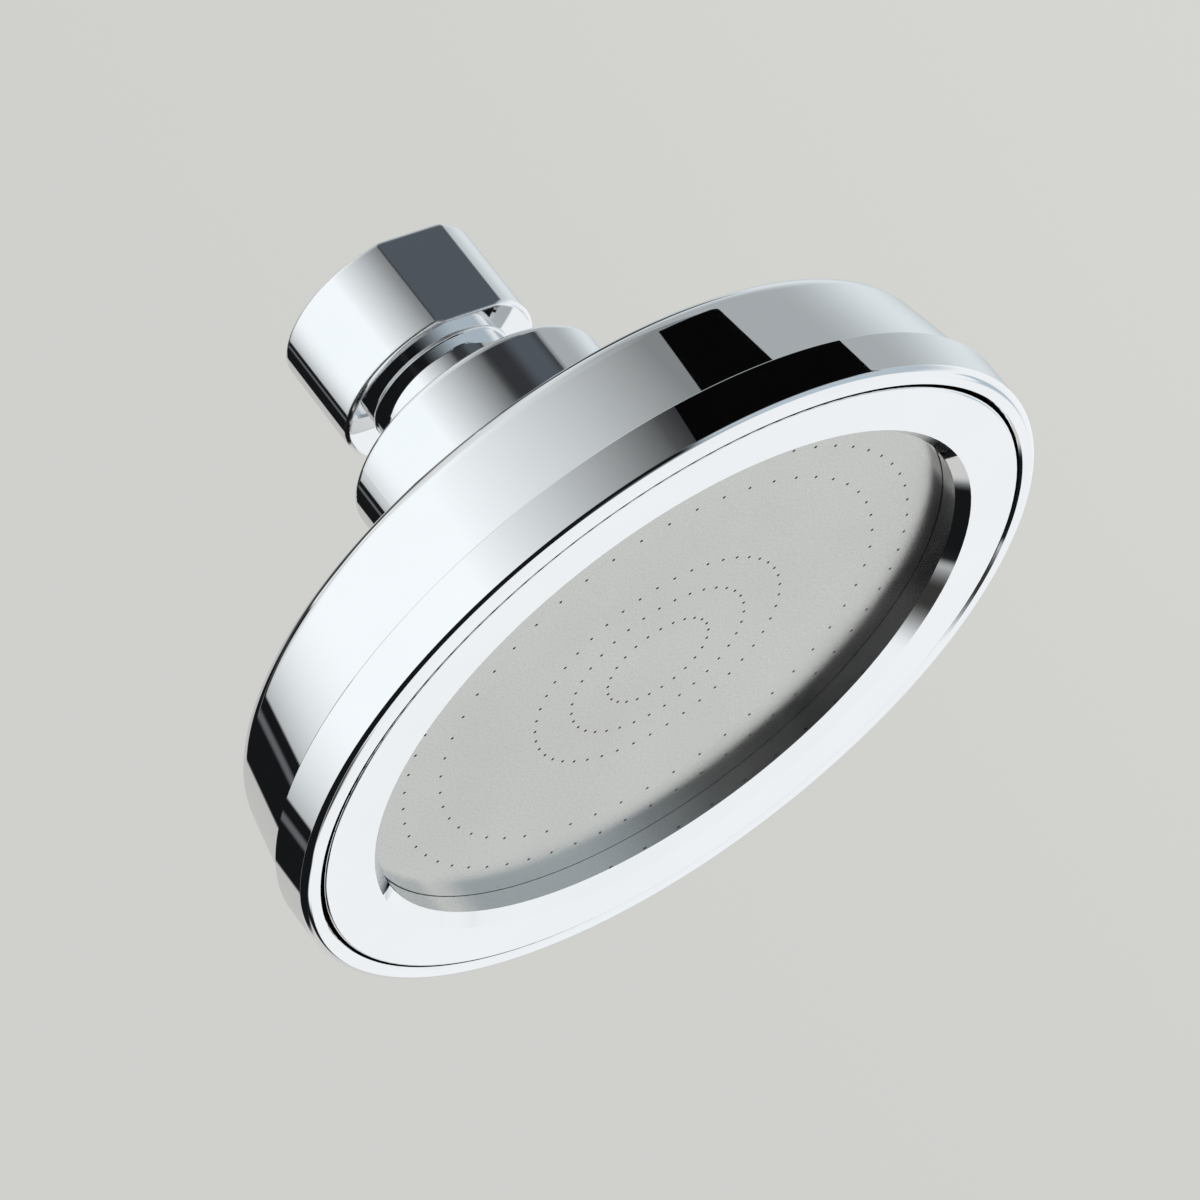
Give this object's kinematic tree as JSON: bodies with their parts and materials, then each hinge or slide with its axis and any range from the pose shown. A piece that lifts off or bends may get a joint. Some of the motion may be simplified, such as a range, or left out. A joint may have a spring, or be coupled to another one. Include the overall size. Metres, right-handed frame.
{
  "type": "shower head",
  "caption": "Round fixed shower head: a low domed chrome shell with a recessed perforated spray plate, a ball joint behind it and a threaded inlet nut.",
  "frame": {"origin": "centre of the flat front face, where the shower head stands when it lies face down", "axes": "+Z from the front face through the ball's centre and out of the inlet's mouth; Y is square to the nut's two wrench flats"},
  "size_m": [0.1014, 0.1014, 0.0619],
  "materials": {
    "chromed_brass": "polished",
    "chrome_plating": "polished",
    "satin_steel": "satin",
    "seal_rubber": "matte",
    "seat_plastic": "matte",
    "insert_plastic": "satin"
  },
  "bodies": {
    "inlet": {"inlet_nut": "chromed_brass", "inlet_washer": "seal_rubber", "filter_screen": "satin_steel", "flow_regulator": "insert_plastic", "regulator_o_ring": "seal_rubber", "ball_stem": "chromed_brass", "stem_o_ring": "seal_rubber"},
    "gasket": {"ball_gasket": "seal_rubber"},
    "carrier": {"lower_ball_seat": "seat_plastic", "upper_ball_ring": "seat_plastic", "seat_o_ring": "seal_rubber"},
    "head": {"ball_collar": "chromed_brass", "shell": "chrome_plating", "diffuser_plate": "seat_plastic", "diffuser_screw_1": "satin_steel", "diffuser_screw_2": "satin_steel", "diffuser_screw_3": "satin_steel", "diffuser_screw_4": "satin_steel", "plate_gasket": "seal_rubber", "face_plate": "satin_steel", "front_ring": "chrome_plating"}
  },
  "joints": [
    {"name": "stem_spin", "type": "hinge", "parent": "inlet", "child": "gasket", "pos_m": [0, 0, 0.0336], "axis": [0, 0, 1], "continuous": true},
    {"name": "ball_tilt", "type": "hinge", "parent": "gasket", "child": "carrier", "pos_m": [0, 0, 0.0336], "axis": [1, 0, 0], "range_deg": [-18, 18]},
    {"name": "head_spin", "type": "hinge", "parent": "carrier", "child": "head", "pos_m": [0, 0, 0.0336], "axis": [0, 0, 1], "continuous": true}
  ]
}
